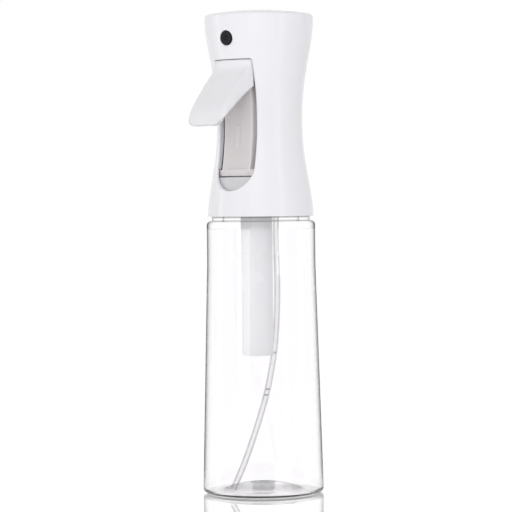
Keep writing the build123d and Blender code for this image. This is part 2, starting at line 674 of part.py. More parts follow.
def make_transfer_valve():
    seat_z = FLANGE_TOP + DUCKBILL_RISE
    low = seat_z - DUCKBILL_FLANGE - DUCKBILL_LENGTH
    flange = rod(DUCKBILL_R - SNUG, seat_z - DUCKBILL_FLANGE, seat_z, -SIDE_RISER_X, SIDE_RISER_Y)
    throat = rod(PASSAGE_R, low + DUCKBILL_LIP_DEPTH, seat_z + 1, -SIDE_RISER_X, SIDE_RISER_Y)
    bill_r = DUCKBILL_R - DUCKBILL_SHOULDER
    round_end = Pos(-SIDE_RISER_X, SIDE_RISER_Y, seat_z - DUCKBILL_FLANGE) * Circle(bill_r)
    flat_end = Pos(-SIDE_RISER_X, SIDE_RISER_Y, low) * Rectangle(2 * bill_r, DUCKBILL_LIP)
    bill = loft([flat_end.face(), round_end.face()])
    slit = block(
        (-SIDE_RISER_X - PASSAGE_R, -SIDE_RISER_X + PASSAGE_R),
        (SIDE_RISER_Y - DUCKBILL_SLIT / 2, SIDE_RISER_Y + DUCKBILL_SLIT / 2),
        (low - 1, low + DUCKBILL_SLIT_DEPTH),
    )
    return flange + bill - throat - slit


def make_outlet_valve():
    low = OUTLET_SEAT_Z + RUNNING
    body = rod(OUTLET_DISC_R, low, low + OUTLET_DISC, SIDE_RISER_X, SIDE_RISER_Y)
    body += rod(PASSAGE_R - OUTLET_PILOT_GAP, low - OUTLET_PILOT, low, SIDE_RISER_X, SIDE_RISER_Y)
    top = low + OUTLET_DISC
    return body + rod(OUTLET_STEM_R, top, top + OUTLET_STEM, SIDE_RISER_X, SIDE_RISER_Y)


def make_outlet_spring():
    low = OUTLET_SEAT_Z + RUNNING + OUTLET_DISC
    return spring(OUTLET_SPRING, low, OUTLET_PLUG_Z, SIDE_RISER_X, SIDE_RISER_Y)


def make_outlet_plug():
    return ring(
        OUTLET_CHAMBER_R - SNUG,
        PIPE_BORE_R,
        OUTLET_PLUG_Z,
        OUTLET_PLUG_Z + OUTLET_PLUG,
        SIDE_RISER_X,
        SIDE_RISER_Y,
    )


def make_vent_valve():
    top = FLANGE_Z - MATING
    cap = Cone(VENT_CAP_R / 2, VENT_CAP_R, VENT_CAP, align=BASE_ALIGN)
    body = Pos(VENT_X, VENT_Y, top - VENT_CAP) * cap
    body += rod(VENT_STEM_R - SNUG, top - OVERLAP, FLANGE_TOP + OVERLAP, VENT_X, VENT_Y)
    bulb = Cone(VENT_BULB_R, VENT_STEM_R / 2, VENT_BULB, align=BASE_ALIGN)
    return body + Pos(VENT_X, VENT_Y, FLANGE_TOP + MATING) * bulb


# ---------------------------------------------------------------- trigger
def trigger_sections():
    """(height, middle Y, crown, edge rounding) of the front, from its flush top to below its tip."""
    top_z = SLOT_TOP - TRIGGER_SIDE_GAP
    sections = []
    for height in (top_z, top_z - TRIGGER_FLUSH):
        middle_y = front_y(height, 0)
        crown = front_y(height, TRIGGER_HALF) - middle_y
        sections.append((height, middle_y, crown, TRIGGER_EDGE))
    for height, y, crown, edge in TRIGGER_FRONT:
        sections.append((PIVOT_Z + height, PIVOT_Y + y, crown, edge))
    return sections


def trigger_section(height, middle_y, crown, edge, half, back_y):
    """Level section with a crowned front, rounded front corners and straight sides."""
    edge_y = middle_y + crown
    front = ThreePointArc((-half, edge_y), (0, middle_y), (half, edge_y))
    sides = Polyline((half, edge_y), (half, back_y), (-half, back_y), (-half, edge_y))
    face = make_face([front, *sides.edges()])
    return Pos(0, 0, height) * fillet(face.vertices().group_by(Axis.Y)[0], edge)


def trigger_block(skin, rim, back_y):
    """Loft of the trigger's sections, moved in behind the skin and between the rims."""
    faces = []
    for height, y, crown, edge in trigger_sections():
        corner = max(edge - rim, TRIGGER_EDGE)
        section = trigger_section(height, y + skin, crown, corner, TRIGGER_HALF - rim, back_y)
        faces.append(section.face())
    return loft(faces)


def round_off(corner, radius, side):
    """What rounding takes off a low corner; side is 1 where the body is on the corner's high side."""
    x, z = corner
    return Pos(x, z) * Rectangle(2 * radius, 2 * radius) - Pos(x + side * radius, z + radius) * Circle(radius)


def make_trigger():
    body = trigger_block(0, 0, PIVOT_Y) - trigger_block(TRIGGER_SKIN, TRIGGER_RIM, PIVOT_Y + 1)
    # the rims end at their own back edge, and the tip's skin at its inner face
    top_z = SLOT_TOP - TRIGGER_SIDE_GAP
    tip_z = PIVOT_Z - TRIGGER_TIP_DROP
    low_z, low_y = trigger_sections()[-1][:2]
    rear = [(PIVOT_Y + y, PIVOT_Z + z) for y, z in RIM_EDGE]
    rear[0] = (rear[0][0], top_z + 1)
    front_corners = ((low_y + TRIGGER_SKIN, low_z - 1), (low_y - 1, low_z - 1), (low_y - 1, top_z + 1))
    body &= side_plate(Polygon(*rear, *front_corners, align=None), -SLOT_WIDTH, SLOT_WIDTH)
    # the tip is cut level, with rounded corners as seen from the front, and a rounded lower edge
    body -= block((-SLOT_WIDTH, SLOT_WIDTH), (low_y - 1, PIVOT_Y), (low_z - 1, tip_z))
    for side in (-1, 1):
        cut = round_off((side * TRIGGER_HALF, tip_z), TRIGGER_CORNER, -side)
        body -= Pos(0, low_y, 0) * extrude(Plane.XZ * cut, amount=2 * TRIGGER_CORNER, both=True)
    body -= side_plate(round_off((low_y, tip_z), TRIGGER_TIP_ROUND, 1), -SLOT_WIDTH, SLOT_WIDTH)
    pivot = (PIVOT_Y, PIVOT_Z)
    # arms from the skin past the pivot to the drive bar
    arm = make_hull((Pos(*pivot) * Circle(EAR_R)).edges() + (Pos(BAR_Y, BAR_Z) * Circle(BAR_EYE_R)).edges())
    top_corner, low_corner = [(PIVOT_Y + y, PIVOT_Z + z) for y, z in WEB_CORNERS]
    ear_top = (PIVOT_Y, PIVOT_Z + EAR_R)
    ear_low = (PIVOT_Y, PIVOT_Z - EAR_R)
    web = Polygon(top_corner, ear_top, ear_low, low_corner, align=None)
    body += mirrored(side_plate(arm + web, ARM_X, ARM_OUTER_X))
    pin_x = CHEEK_X + CHEEK_WALL - PIN_SETBACK
    body += bar(PIVOT_R, (-pin_x, *pivot), (pin_x, *pivot))
    body += bar(BAR_R, (-ARM_OUTER_X, BAR_Y, BAR_Z), (ARM_OUTER_X, BAR_Y, BAR_Z))
    return body


# ---------------------------------------------------------------- frame
def facia_face(low, high, inset):
    """Side view of the panel's raised front, which follows the slot's side edges."""
    steps = PROFILE_STEPS
    heights = [low + (high - low) * step / steps for step in range(steps + 1)]
    front = Spline(*[(front_y(z, SLOT_WIDTH / 2) + FACIA_SETBACK + inset, z) for z in heights])
    back_y = PANEL_Y + PANEL_WALL / 2
    return make_face(front + Polyline(front @ 1, (back_y, high), (back_y, low), front @ 0))


def make_facia():
    """Hollow raised front, open at the back, with a rib up its middle."""
    top = PIVOT_Z - FACIA_DROP
    shell = side_plate(facia_face(DECK_Z, top, 0), -FACIA_HALF, FACIA_HALF)
    front = shell.faces().sort_by(Axis.Y)[0]
    shell = fillet([edge for edge in front.edges() if edge.bounding_box().size.X < 1], FACIA_EDGE)
    rib = facia_face(DECK_TOP + RIB_BOTTOM_RISE, DECK_TOP + RIB_TOP_RISE, -RIB_HEIGHT)
    return shell + side_plate(rib, -RIB_HALF, RIB_HALF)


def make_inner_frame():
    deck_r = shroud_radius(DECK_TOP) - SHROUD_WALL - CLEAR
    outer_x = CHEEK_X + CHEEK_WALL
    back = BACK_Y + PANEL_WALL
    riser_room = (back + CLEAR, INLET_Y + SOCKET_R + CLEAR)
    half_room = SIDE_RISER_X + SIDE_RISER_R + CLEAR
    deck = rod(deck_r, DECK_Z, DECK_TOP) + ring(deck_r, deck_r - DECK_LIP_WIDTH, DECK_Z - DECK_LIP, DECK_Z)
    deck -= block((-half_room, half_room), riser_room, (DECK_Z - 1, DECK_TOP + 1))
    panel_top = PIVOT_Z - PANEL_DROP
    panel = block((-outer_x, outer_x), (PANEL_Y, PANEL_Y + PANEL_WALL), (DECK_Z, panel_top))
    panel += block((-outer_x, outer_x), (BACK_Y, back), (DECK_Z, YOKE_TOP - BACK_DROP))
    panel += make_facia()
    hollow_top = PIVOT_Z - FACIA_DROP - PANEL_WALL
    hollow_half = FACIA_HALF - PANEL_WALL
    hollow = side_plate(facia_face(DECK_TOP, hollow_top, PANEL_WALL), -hollow_half, hollow_half)
    panel -= hollow + Pos(0, PANEL_WALL, 0) * hollow
    ear = (Pos(PIVOT_Y, PIVOT_Z) * Circle(EAR_R)).edges()
    heel = (Pos(PANEL_Y + EAR_R, panel_top) * Circle(EAR_R)).edges()
    corner_z = PIVOT_Z - CHEEK_DROP
    shoulder = (Pos(back - EAR_R, corner_z) * Circle(EAR_R)).edges()
    cheek = make_hull(ear + heel + shoulder)
    cheek += Polygon((PANEL_Y, DECK_Z), (back, DECK_Z), (back, corner_z), (PANEL_Y, panel_top), align=None)
    cheek -= Pos(PIVOT_Y, PIVOT_Z) * Circle(PIVOT_R + RUNNING)
    return deck + panel + mirrored(side_plate(cheek, CHEEK_X, outer_x))


# ---------------------------------------------------------------- pump
def make_pump_piston():
    jaw_low = BAR_Z - BAR_R - BAR_GAP - YOKE_JAW
    yoke = block((-YOKE_X, YOKE_X), (PUMP_Y - YOKE_FRONT, PUMP_Y + YOKE_BACK), (jaw_low, YOKE_TOP))
    gap_back = BAR_END_Y + BAR_R + CLEAR
    slot_y = (PUMP_Y - YOKE_FRONT - 1, gap_back)
    slot_z = (BAR_Z - BAR_R - BAR_GAP, BAR_Z + BAR_R + BAR_GAP)
    yoke -= block((-YOKE_X - 1, YOKE_X + 1), slot_y, slot_z)
    body = yoke + rod(PUMP_BORE_R - CLEAR, YOKE_TOP, PISTON_TOP, y=PUMP_Y)
    body += rod(PUMP_BORE_R - RUNNING, PISTON_TOP - PISTON_LAND, PISTON_TOP, y=PUMP_Y)
    body -= rod(PISTON_POCKET_R, POCKET_FLOOR, PISTON_TOP + 1, y=PUMP_Y)
    low = PISTON_TOP - PISTON_CREST - SEAL_HEIGHT
    return body - ring(PUMP_BORE_R + 1, PUMP_BORE_R - SEAL_DEPTH - RUNNING, low, low + SEAL_HEIGHT, y=PUMP_Y)


def make_piston_seal():
    low = PISTON_TOP - PISTON_CREST - SEAL_HEIGHT
    outer = PUMP_BORE_R - RUNNING
    return ring(outer, outer - SEAL_DEPTH + SNUG, low + MATING, low + SEAL_HEIGHT - MATING, y=PUMP_Y)


def make_piston_spring():
    return spring(PUMP_SPRING, POCKET_FLOOR, PUMP_TOP, y=PUMP_Y)


# ---------------------------------------------------------------- discharge pipe and nozzle
def nozzle_face_y():
    return -shroud_radius(NOZZLE_Z) - NOZZLE_PROUD


def boss_face_y():
    return -shroud_radius(NOZZLE_Z) + BOSS_SETBACK


def socket_y():
    """Bottom of the nozzle's socket."""
    return nozzle_face_y() + NOZZLE_LENGTH


def make_discharge_pipe():
    corner = (0, SIDE_RISER_Y, NOZZLE_Z)
    elbow = (SIDE_RISER_X, SIDE_RISER_Y, NOZZLE_Z)
    front = (0, boss_face_y(), NOZZLE_Z)
    body = bar(PIPE_R, corner, front) + bar(PIPE_R, corner, elbow)
    body += Pos(*corner) * Sphere(PIPE_R)
    body += Pos(*elbow) * Sphere(PIPE_R)
    body += bar(BOSS_R, (0, boss_face_y() + BOSS_LENGTH, NOZZLE_Z), front)
    body += rod(PIPE_R, RISER_TOP + MATING, NOZZLE_Z, SIDE_RISER_X, SIDE_RISER_Y)
    spigot_low = RISER_TOP - SPIGOT_LENGTH
    body += rod(OUTLET_CHAMBER_R - SNUG, spigot_low, NOZZLE_Z, SIDE_RISER_X, SIDE_RISER_Y)
    body -= bar(NOZZLE_R + SNUG, (0, socket_y(), NOZZLE_Z), (0, boss_face_y() - 1, NOZZLE_Z))
    body -= bar(PIPE_BORE_R, corner, (0, socket_y() - 1, NOZZLE_Z))
    body -= bar(PIPE_BORE_R, (-PIPE_BORE_R, SIDE_RISER_Y, NOZZLE_Z), elbow)
    return body - rod(PIPE_BORE_R, spigot_low - 1, NOZZLE_Z, SIDE_RISER_X, SIDE_RISER_Y)


def make_nozzle():
    face = nozzle_face_y()
    body = bar(NOZZLE_R, (0, socket_y() - MATING, NOZZLE_Z), (0, face, NOZZLE_Z))
    body -= bar(NOZZLE_BORE_R, (0, socket_y() + 1, NOZZLE_Z), (0, face + NOZZLE_FACE, NOZZLE_Z))
    body -= bar(ORIFICE_R, (0, 0, NOZZLE_Z), (0, face - 1, NOZZLE_Z))
    dish = Cone(ORIFICE_DISH_R, ORIFICE_R, ORIFICE_DISH, align=BASE_ALIGN)
    body -= Plane(origin=(0, face, NOZZLE_Z), z_dir=(0, 1, 0)) * dish
    seal_y = socket_y() - ORING_Y
    half = ORING_GROOVE / 2
    groove = bar(NOZZLE_R + 1, (0, seal_y - half, NOZZLE_Z), (0, seal_y + half, NOZZLE_Z))
    groove -= bar(NOZZLE_R - 2 * ORING_R, (0, seal_y - 1, NOZZLE_Z), (0, seal_y + 1, NOZZLE_Z))
    return body - groove


def make_nozzle_seal():
    ring_plane = Plane(origin=(0, socket_y() - ORING_Y, NOZZLE_Z), z_dir=(0, 1, 0))
    return ring_plane * Torus(NOZZLE_R - ORING_R + SNUG, ORING_R)


def make_swirl_insert():
    face = nozzle_face_y()
    front = face + NOZZLE_FACE + MATING
    body = bar(NOZZLE_BORE_R - SNUG, (0, socket_y() - INSERT_SETBACK, NOZZLE_Z), (0, front, NOZZLE_Z))
    # three flow grooves along the side
    for turn in (90, 210, 330):
        x = NOZZLE_BORE_R * cos(radians(turn))
        z = NOZZLE_Z + NOZZLE_BORE_R * sin(radians(turn))
        body -= bar(INSERT_GROOVE_R, (x, socket_y(), z), (x, front - 1, z))
    return body


# ---------------------------------------------------------------- pressure buffer
def make_buffer_cylinder():
    return ring(BUFFER_R, BUFFER_BORE_R, BUFFER_BOTTOM + CAP_FLANGE, FLANGE_Z, y=BUFFER_Y)


def make_buffer_end_cap():
    top = BUFFER_BOTTOM + CAP_FLANGE
    body = rod(BUFFER_R, BUFFER_BOTTOM, top, y=BUFFER_Y)
    body += ring(BUFFER_BORE_R - SNUG, BUFFER_BORE_R - CAP_PLUG_WALL, top, top + CAP_PLUG, y=BUFFER_Y)
    return body - rod(CAP_VENT_R, BUFFER_BOTTOM - 1, top + 1, y=BUFFER_Y)


def buffer_seal_heights():
    """Upper faces of the two seals."""
    upper = BUFFER_PISTON_TOP - BUFFER_SEAL_INSET
    lower = BUFFER_PISTON_TOP - BUFFER_PISTON + BUFFER_SEAL_INSET + BUFFER_SEAL
    return [upper, lower]


def make_buffer_piston():
    low = BUFFER_PISTON_TOP - BUFFER_PISTON
    outer = BUFFER_BORE_R - RUNNING
    body = rod(outer, low, BUFFER_PISTON_TOP, y=BUFFER_Y)
    body -= rod(outer - BUFFER_PISTON_SIDE, low - 1, BUFFER_PISTON_TOP - BUFFER_PISTON_WALL, y=BUFFER_Y)
    body += rod(BUFFER_STEM_R, low - BUFFER_STEM, BUFFER_PISTON_TOP - BUFFER_PISTON_WALL / 2, y=BUFFER_Y)
    for top in buffer_seal_heights():
        body -= ring(BUFFER_R, outer - BUFFER_SEAL_DEPTH, top - BUFFER_SEAL, top, y=BUFFER_Y)
    return body


def make_buffer_seals():
    outer = BUFFER_BORE_R - RUNNING
    seals = Part()
    for top in buffer_seal_heights():
        inner = outer - BUFFER_SEAL_DEPTH + SNUG
        seals += ring(outer, inner, top - BUFFER_SEAL + MATING, top - MATING, y=BUFFER_Y)
    return seals


def make_buffer_spring():
    low = BUFFER_BOTTOM + CAP_FLANGE + SPRING_GAP
    high = BUFFER_PISTON_TOP - BUFFER_PISTON_WALL
    return spring(BUFFER_SPRING, low, high, y=BUFFER_Y)


# ---------------------------------------------------------------- dip tube
def tube_route():
    end = (-(FOOT_R - TUBE_END_INSET), FLOOR_WALL + TUBE_END_GAP + TUBE_R)
    return [(INLET_Y, TUBE_TOP), (INLET_Y, TUBE_TOP - TUBE_STRAIGHT), *TUBE_BENDS, end]


def bend_radii(points):
    """Each bend is as large as the shorter of its two runs allows."""
    radii = []
    for before, here, after in zip(points, points[1:], points[2:]):
        first = Vector(*here) - Vector(*before)
        second = Vector(*after) - Vector(*here)
        half_turn = radians(first.get_angle(second)) / 2
        radii.append(0.45 * min(first.length, second.length) / tan(half_turn))
    return radii


def make_dip_tube():
    points = tube_route()
    radii = bend_radii(points)
    print("dip tube bends, mm:", [round(radius) for radius in radii])
    path = Plane.YZ * FilletPolyline(*points, radius=radii)
    section = Plane(origin=path @ 0, z_dir=path % 0) * (Circle(TUBE_R) - Circle(TUBE_BORE_R))
    return sweep(section, path=path)


# ---------------------------------------------------------------- write every piece
PIECES = {
    "bottle": make_bottle,
    "neck_gasket": make_neck_gasket,
    "shroud": make_shroud,
    "closure_ring": make_closure_ring,
    "pump_body": make_pump_body,
    "gallery_plugs": make_gallery_plugs,
    "inlet_seat": make_inlet_seat,
    "inlet_ball": make_inlet_ball,
    "transfer_valve": make_transfer_valve,
    "outlet_valve": make_outlet_valve,
    "outlet_spring": make_outlet_spring,
    "outlet_plug": make_outlet_plug,
    "vent_valve": make_vent_valve,
    "trigger": make_trigger,
    "inner_frame": make_inner_frame,
    "pump_piston": make_pump_piston,
    "piston_seal": make_piston_seal,
    "piston_spring": make_piston_spring,
    "discharge_pipe": make_discharge_pipe,
    "nozzle": make_nozzle,
    "nozzle_seal": make_nozzle_seal,
    "swirl_insert": make_swirl_insert,
    "buffer_cylinder": make_buffer_cylinder,
    "buffer_end_cap": make_buffer_end_cap,
    "buffer_piston": make_buffer_piston,
    "buffer_seals": make_buffer_seals,
    "buffer_spring": make_buffer_spring,
    "dip_tube": make_dip_tube,
}

os.makedirs("parts", exist_ok=True)
for name, make in PIECES.items():
    export_step(make(), f"parts/{name}.step")
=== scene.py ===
import json
from math import cos, radians, sin, tan, tau

import bpy
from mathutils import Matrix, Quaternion, Vector


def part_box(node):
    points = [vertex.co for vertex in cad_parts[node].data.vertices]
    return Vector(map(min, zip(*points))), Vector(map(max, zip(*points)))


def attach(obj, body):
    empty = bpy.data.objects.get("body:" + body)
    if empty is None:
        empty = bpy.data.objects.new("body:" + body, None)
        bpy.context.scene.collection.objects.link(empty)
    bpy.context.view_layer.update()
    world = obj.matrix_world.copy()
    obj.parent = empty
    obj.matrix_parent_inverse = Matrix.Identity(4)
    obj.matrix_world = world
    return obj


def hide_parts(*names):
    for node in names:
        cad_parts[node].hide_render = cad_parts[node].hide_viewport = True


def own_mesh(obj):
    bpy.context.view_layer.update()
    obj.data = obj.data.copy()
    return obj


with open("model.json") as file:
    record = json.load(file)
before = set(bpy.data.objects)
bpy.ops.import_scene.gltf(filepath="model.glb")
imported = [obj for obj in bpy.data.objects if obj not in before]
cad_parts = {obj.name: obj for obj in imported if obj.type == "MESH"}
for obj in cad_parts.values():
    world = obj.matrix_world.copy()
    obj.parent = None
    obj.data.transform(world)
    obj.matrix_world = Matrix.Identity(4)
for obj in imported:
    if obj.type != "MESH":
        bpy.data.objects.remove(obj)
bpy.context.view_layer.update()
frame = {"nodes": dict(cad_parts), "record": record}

# ------------------------------------------------------------------ sizes of the bottle, as in the part
FOOT_R = 0.03015         # of the side, run down to the floor
SIDE_R = 0.02705         # of the side from the top of its taper
TAPER_TOP = 0.115
SHOULDER_Z = 0.1357      # top of the shoulder
SHOULDER_FILLET = 0.0022
WALL = 0.0009
COLLAR_R = 0.0244        # wide foot of the neck
DOME_R = 0.0205          # dome pushed up into the base
DOME_RISE = 0.004
GATE_R = 0.0056          # boss under the middle of the dome
SKIRT_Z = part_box("shroud")[0].z   # bottom edge of the head

# ------------------------------------------------------------------ camera
SENSOR_MM = 36.0
LENS_MM = 161.72
DISTANCE = 1.15          # from the bottle's axis
EYE = 0.146              # height
AZIMUTH = radians(38)    # from the front towards +X
PAN = radians(0.1295)    # aim, to the left of the axis
TILT = radians(1.3947)   # aim, below the eye's height
ROLL = radians(0.613)
CLIP_START = 0.01
CLIP_END = 50.0


def make_camera():
    data = bpy.data.cameras.new("camera")
    data.sensor_width = SENSOR_MM
    data.lens = LENS_MM
    data.clip_start = CLIP_START
    data.clip_end = CLIP_END
    camera = bpy.data.objects.new("camera", data)
    bpy.context.scene.collection.objects.link(camera)
    bpy.context.scene.camera = camera
    camera.location = (DISTANCE * sin(AZIMUTH), -DISTANCE * cos(AZIMUTH), EYE)
    forward = Vector((-sin(AZIMUTH), cos(AZIMUTH), 0))
    right = Vector((cos(AZIMUTH), sin(AZIMUTH), 0))
    aim = forward - right * tan(PAN) - Vector((0, 0, tan(TILT)))
    camera.rotation_mode = "QUATERNION"
    camera.rotation_quaternion = aim.to_track_quat("-Z", "Y") @ Quaternion((0, 0, 1), -ROLL)


# ------------------------------------------------------------------ node helpers
def new_material(name):
    material = bpy.data.materials.new(name)
    material.use_nodes = True
    tree = material.node_tree
    tree.nodes.clear()
    output = tree.nodes.new("ShaderNodeOutputMaterial")
    return material, tree, output


def feed(tree, value, socket):
    """Link an output to the socket, or set the socket to a number, a colour or a vector."""
    if hasattr(value, "is_output"):
        tree.links.new(value, socket)
    else:
        socket.default_value = value


def add(tree, kind, **values):
    """A shader node with its inputs fed by name."""
    node = tree.nodes.new("ShaderNode" + kind)
    for key, value in values.items():
        name = key.replace("_", " ").lower()
        feed(tree, value, next(socket for socket in node.inputs if socket.name.lower() == name))
    return node


def mix_shaders(tree, share, first, second):
    """The first shader, turning into the second as the share goes from 0 to 1."""
    node = tree.nodes.new("ShaderNodeMixShader")
    for value, socket in zip((share, first.outputs[0], second.outputs[0]), node.inputs):
        feed(tree, value, socket)
    return node


def tint(tree, share, first, second):
    """The first colour, turning into the second as the share goes from 0 to 1."""
    node = tree.nodes.new("ShaderNodeMix")
    node.data_type = "RGBA"
    amount, first_colour, second_colour = node.inputs[0], node.inputs[6], node.inputs[7]
    feed(tree, share, amount)
    first_colour.default_value = (*first, 1)
    second_colour.default_value = (*second, 1)
    return node.outputs[2]


def calculate(tree, operation, *values):
    """The operation's result for one or two values."""
    node = tree.nodes.new("ShaderNodeMath")
    node.operation = operation
    for value, socket in zip(values, node.inputs):
        feed(tree, value, socket)
    return node.outputs[0]


def chain(tree, operation, first, *others):
    """The operation's result for the first value and each of the others in turn."""
    for other in others:
        first = calculate(tree, operation, first, other)
    return first


def hypotenuse(tree, first, second):
    squares = [calculate(tree, "MULTIPLY", side, side) for side in (first, second)]
    return calculate(tree, "SQRT", calculate(tree, "ADD", *squares))


def ramp(tree, value, low, high, first, second):
    """The value, low to high, turned into first to second, and held beyond."""
    node = add(tree, "MapRange", Value=value, From_Min=low, From_Max=high, To_Min=first, To_Max=second)
    return node.outputs[0]


def band(tree, value, start, full, last, end, strength):
    """The strength where the value is from full to last, fading to 0 at start and end."""
    rise = ramp(tree, value, start, full, 0, strength)
    fall = ramp(tree, value, last, end, 1, 0)
    return calculate(tree, "MULTIPLY", rise, fall)


def noise(tree, scale, detail=3.0, stretch=(1, 1, 1)):
    """Cloudy values, fixed to the object."""
    place = tree.nodes.new("ShaderNodeTexCoord")
    mapping = add(tree, "Mapping", Vector=place.outputs["Object"], Scale=stretch)
    return add(tree, "TexNoise", Vector=mapping.outputs[0], Scale=scale, Detail=detail).outputs["Fac"]


NOISE_LOW, NOISE_HIGH = 0.3, 0.7   # nearly all of a noise's values are between these


def spread(tree, value, low, high):
    """A noise stretched to run from low to high."""
    return ramp(tree, value, NOISE_LOW, NOISE_HIGH, low, high)


def facing_edge(tree, start):
    """0 where a surface is seen face on, rising to 1 where it is seen edge on."""
    weight = add(tree, "LayerWeight", Blend=0.5)
    edge = add(tree, "MapRange", Value=weight.outputs["Facing"], From_Min=start, From_Max=1.0)
    edge.interpolation_type = "SMOOTHSTEP"
    return edge.outputs[0]


def light_path(tree, *kinds):
    """1 where the ray is one of these kinds."""
    path = tree.nodes.new("ShaderNodeLightPath")
    return chain(tree, "MAXIMUM", *(path.outputs[kind] for kind in kinds))


def object_place(tree):
    """Distance from the bottle's axis, and height."""
    place = tree.nodes.new("ShaderNodeTexCoord")
    x, y, height = add(tree, "SeparateXYZ", Vector=place.outputs["Object"]).outputs
    return hypotenuse(tree, x, y), height


# ------------------------------------------------------------------ moulded plastic, rubber and steel
CLOUD_SCALE = 22.0       # of the soft change of tone
GRAIN_DETAIL = 2.0
GRAIN_STRENGTH = 0.25
GRAIN_HEIGHT = 0.00002
EDGE_SAMPLES = 4


def moulded(name, dark, light, rough=(0.2, 0.3), grain=900.0, edge=0.0004, **finish):
    """A soft change of tone, a fine grain and worn-round edges."""
    material, tree, output = new_material(name)
    cloud = noise(tree, CLOUD_SCALE)
    round_edge = add(tree, "Bevel", Radius=edge)
    round_edge.samples = EDGE_SAMPLES
    grained = add(tree, "Bump", Strength=GRAIN_STRENGTH, Distance=GRAIN_HEIGHT,
                  Height=noise(tree, grain, GRAIN_DETAIL), Normal=round_edge.outputs[0])
    shader = add(tree, "BsdfPrincipled", Base_Color=tint(tree, spread(tree, cloud, 0, 1), dark, light),
                 Roughness=spread(tree, cloud, *rough), Normal=grained.outputs[0], **finish)
    tree.links.new(shader.outputs[0], output.inputs["Surface"])
    return material


# ------------------------------------------------------------------ the bottle's clear plastic
CLEAR = (0.996, 0.988, 0.997)
PLASTIC_IOR = 1.5
WAVE_SCALE = 40.0        # of the slow change of gloss
FOOT_ROUGH = 0.12
FOOT_ROUGH_TOP = (0.002, 0.004)

# the painted dark edge, standing in for the dark surroundings that clear plastic shows where it is seen edge
# on: how much of it each stretch of the bottle takes
MID_WALL = (0.6 * WALL, 0.4 * WALL)   # depths between which the outer skin starts
SHOULDER_SHARE = 0.4     # on the shoulder and neck
SHOULDER_FADE = (SHOULDER_Z - 0.0015, SHOULDER_Z - 0.0003)
FOOT_SHARE = 0.5         # at the floor
FOOT_FADE = 0.014        # height from which it is full
DOME_RIM = (DOME_R - 0.002, DOME_R)
DOME_TOP = (DOME_RISE + 0.001, DOME_RISE + 0.002)
DOME_MIDDLE_SHARE, DOME_SIDE_SHARE = 0.3, 0.55
DOME_FADE = (0.008, 0.018)   # radii of these shares

# the shoulder and neck, and their dark lines
STRAIGHT_FROM = (SHOULDER_Z - 0.0041, SHOULDER_Z - 0.0040)
BESIDE_COLLAR = (COLLAR_R - 0.0003, COLLAR_R - 0.0001)
SKIRT_LINE = [SKIRT_Z + offset for offset in (-0.0011, -0.0005, 0.0002, 0.0008)]
SKIRT_SHADE = 0.35
SHOULDER_LINE = [SHOULDER_Z + offset for offset in (-0.0006, -0.0003, 0.0001, 0.0003)]
SHOULDER_SHADE = 0.3

# the boss under the dome, and the mark on the dome over it
GATE_SIDE = (GATE_R + 0.0002, GATE_R + 0.0005)
GATE_TOP = (DOME_RISE + 0.0001, DOME_RISE + 0.0005)
GATE_GRAIN = 900.0
GATE_STRETCH = (0.3, 0.3, 1.5)
GATE_STROKES = (0.55, 1)
GATE_ROUGH = 0.5
CAP_SIDE = (0.0030, 0.0036)
CAP_BOTTOM = (DOME_RISE + WALL - 0.0001, DOME_RISE + WALL + 0.0002)
CAP_SHADE = 0.7


def dome_edge(tree, radius, height):
    """Share of the painted dark edge in the dome, less in its middle."""
    return chain(tree, "MULTIPLY", ramp(tree, radius, *DOME_RIM, 1, 0), ramp(tree, height, *DOME_TOP, 1, 0),
                 ramp(tree, radius, *DOME_FADE, DOME_MIDDLE_SHARE, DOME_SIDE_SHARE))


def outer_skin(tree):
    """Share of the painted dark edge: 1 on the bottle's outer side, less on foot, shoulder and dome, 0
    inside.
    """
    radius, height = object_place(tree)
    side = ramp(tree, height, 0, TAPER_TOP, FOOT_R, SIDE_R)
    across = calculate(tree, "SUBTRACT", radius, calculate(tree, "SUBTRACT", side, SHOULDER_FILLET))
    up = calculate(tree, "SUBTRACT", height, SHOULDER_Z - SHOULDER_FILLET)
    reach = hypotenuse(tree, *(calculate(tree, "MAXIMUM", way, 0) for way in (across, up)))
    start, full = (SHOULDER_FILLET - depth for depth in MID_WALL)
    skin = chain(tree, "MULTIPLY", ramp(tree, reach, start, full, 0, 1),
                 ramp(tree, height, *SHOULDER_FADE, 1, SHOULDER_SHARE),
                 ramp(tree, height, 0, FOOT_FADE, FOOT_SHARE, 1))
    return calculate(tree, "MAXIMUM", skin, dome_edge(tree, radius, height))


def shoulder(tree):
    """1 at the shoulder and the neck, whose thick plastic would hide what is behind it."""
    height = object_place(tree)[1]
    return ramp(tree, height, *STRAIGHT_FROM, 0, 1)


def neck_shade(tree):
    """Part shade where the neck's foot goes into the head's skirt, and along the shoulder's top."""
    radius, height = object_place(tree)
    outside = ramp(tree, radius, *BESIDE_COLLAR, 0, 1)
    at_skirt = band(tree, height, *SKIRT_LINE, SKIRT_SHADE)
    at_top = band(tree, height, *SHOULDER_LINE, SHOULDER_SHADE)
    return calculate(tree, "MULTIPLY", outside, calculate(tree, "MAXIMUM", at_skirt, at_top))


def gate_mark(tree):
    """Up to 1 on the boss under the dome, in fine strokes, and on a small round mark over it."""
    radius, height = object_place(tree)
    strokes = spread(tree, noise(tree, GATE_GRAIN, GRAIN_DETAIL, GATE_STRETCH), *GATE_STROKES)
    boss = chain(tree, "MULTIPLY", ramp(tree, radius, *GATE_SIDE, 1, 0), ramp(tree, height, *GATE_TOP, 1, 0),
                 strokes)
    cap = calculate(tree, "MULTIPLY", ramp(tree, radius, *CAP_SIDE, CAP_SHADE, 0),
                    ramp(tree, height, *CAP_BOTTOM, 0, 1))
    return calculate(tree, "MAXIMUM", boss, cap)


